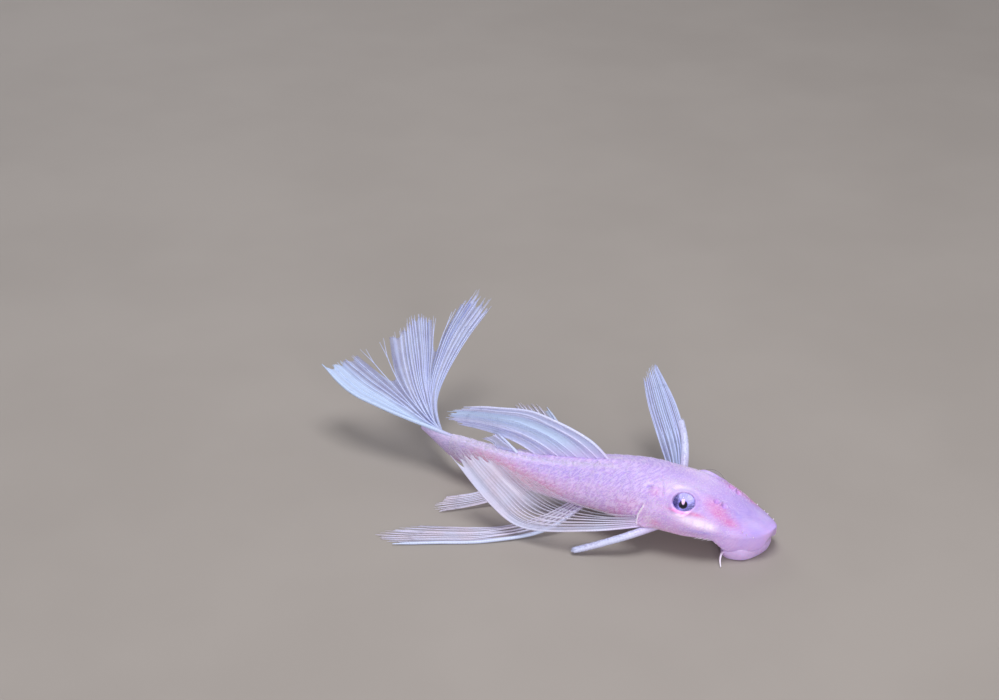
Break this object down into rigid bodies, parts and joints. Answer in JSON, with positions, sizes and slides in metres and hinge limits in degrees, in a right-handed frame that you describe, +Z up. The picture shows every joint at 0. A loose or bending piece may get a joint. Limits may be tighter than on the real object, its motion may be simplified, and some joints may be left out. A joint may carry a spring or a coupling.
{
  "type": "bristlenose pleco fish model",
  "caption": "Long-finned pale bristlenose pleco, a life-size still model resting on its sucker mouth and lower fins, its tail fin swept to one side.",
  "frame": {"origin": "middle of the underside of the whole model's box, on the floor that it rests on", "axes": "+X from the tail to the snout, +Y to the fish's left side, +Z up"},
  "size_m": [0.0994, 0.063, 0.0229],
  "materials": {
    "skin": "pale pink wet skin over small bony plates, with lilac and peach tints",
    "lips": "soft lilac-pink lip flesh with fine papillae",
    "eye": "clear cornea over a silver-blue iris with a dark pupil",
    "fin": "thin clear membrane with pale blue-white rays"
  },
  "bodies": {
    "root": {"head": "skin", "torso": "skin", "tail_stem": "skin", "mouth_disc": "lips", "eye_right": "eye", "eye_left": "eye", "dorsal_fin": "fin", "adipose_fin": "fin", "anal_fin": "fin", "caudal_fin": "fin", "pectoral_fin_right": "fin", "pectoral_fin_left": "fin", "pelvic_fin_right": "fin", "pelvic_fin_left": "fin"}
  },
  "joints": []
}
